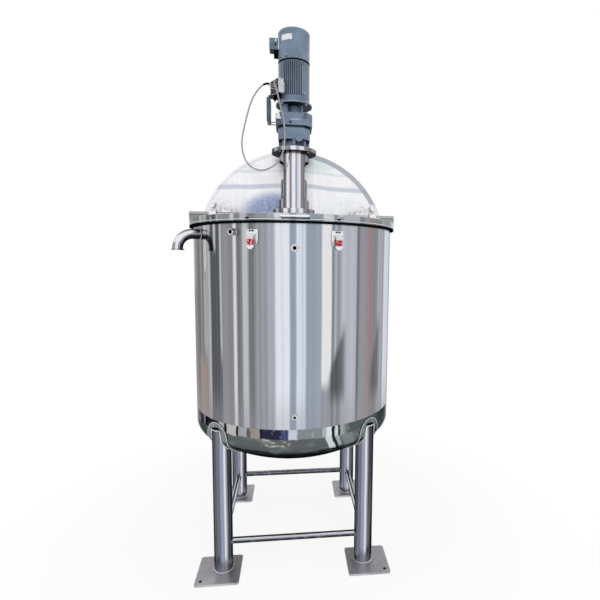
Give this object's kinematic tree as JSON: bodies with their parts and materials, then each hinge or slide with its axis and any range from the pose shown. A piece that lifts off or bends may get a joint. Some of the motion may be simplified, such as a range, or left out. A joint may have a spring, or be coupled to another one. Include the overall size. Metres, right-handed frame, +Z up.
{
  "type": "mixing tank",
  "caption": "Jacketed round stainless mixing tank on tubular legs, with a dished bottom, half-moon hinged lids and an upright stirring drive on a bridge.",
  "frame": {"origin": "on the tank's axis at floor level", "axes": "+Z up along the tank's axis; -Y is the front with the closed lid; +X is the right-hand side seen from the front"},
  "size_m": [1.2722, 1.272, 3.115],
  "materials": {
    "steel": "brushed",
    "polished": "mirror polished stainless steel",
    "paint": "semi-gloss enamel",
    "alloy": "cast, fine grain",
    "dark": "matt",
    "red": "matt red grip",
    "grey": "matt cable sheath"
  },
  "bodies": {
    "tank": {"wall_1": "steel", "wall_2": "steel", "wall_3": "steel", "wall_4": "steel", "wall_5": "steel", "wall_6": "steel", "bottom_dish": "polished", "bottom_outlet": "polished", "rim_ring": "steel", "bridge": "steel", "hinge_fl": "steel", "hinge_fr": "steel", "hinge_rl": "steel", "hinge_rr": "steel", "leg_fl": "steel", "leg_fr": "steel", "leg_rl": "steel", "leg_rr": "steel", "leg_pad_fl": "steel", "leg_pad_fr": "steel", "leg_pad_rl": "steel", "leg_pad_rr": "steel", "brace_front": "steel", "brace_left": "steel", "brace_back": "steel", "brace_right": "steel", "lantern_seat": "steel", "lantern": "steel", "gear_lower": "paint", "gear_upper": "paint", "motor_flange": "paint", "motor_body": "paint", "fan_cowl": "paint", "sensor_box": "paint", "terminal_box": "alloy", "terminal_board": "dark", "box_cover": "paint", "inlet_elbow": "polished", "upper_socket": "polished", "lower_socket": "polished", "side_nozzle": "polished", "latch_back_fl": "steel", "latch_back_fr": "steel", "latch_back_rl": "steel", "latch_back_rr": "steel", "motor_cable": "grey"},
    "front_lid": {"front_lid": "steel"},
    "rear_lid": {"rear_lid": "steel"},
    "stirrer": {"shaft": "steel", "stirrer": "steel"},
    "latch_left": {"latch_lever_fl": "red"},
    "latch_right": {"latch_lever_fr": "red"}
  },
  "joints": [
    {"name": "front_lid_hinge", "type": "hinge", "parent": "tank", "child": "front_lid", "pos_m": [0, -0.165, 2.01], "axis": [-1, 0, 0], "range_deg": [0, 93]},
    {"name": "rear_lid_hinge", "type": "hinge", "parent": "tank", "child": "rear_lid", "pos_m": [0, 0.165, 2.01], "axis": [-1, 0, 0], "range_deg": [0, 93]},
    {"name": "stirrer_spin", "type": "hinge", "parent": "tank", "child": "stirrer", "pos_m": [0, 0, 1.5], "axis": [0, 0, 1], "continuous": true},
    {"name": "latch_left_hinge", "type": "hinge", "parent": "tank", "child": "latch_left", "pos_m": [-0.21895, -0.57589, 1.882], "axis": [-0.9367, 0.3502, 0], "range_deg": [0, 110]},
    {"name": "latch_right_hinge", "type": "hinge", "parent": "tank", "child": "latch_right", "pos_m": [0.22396, -0.57396, 1.882], "axis": [-0.9336, -0.3584, 0], "range_deg": [0, 110]}
  ]
}
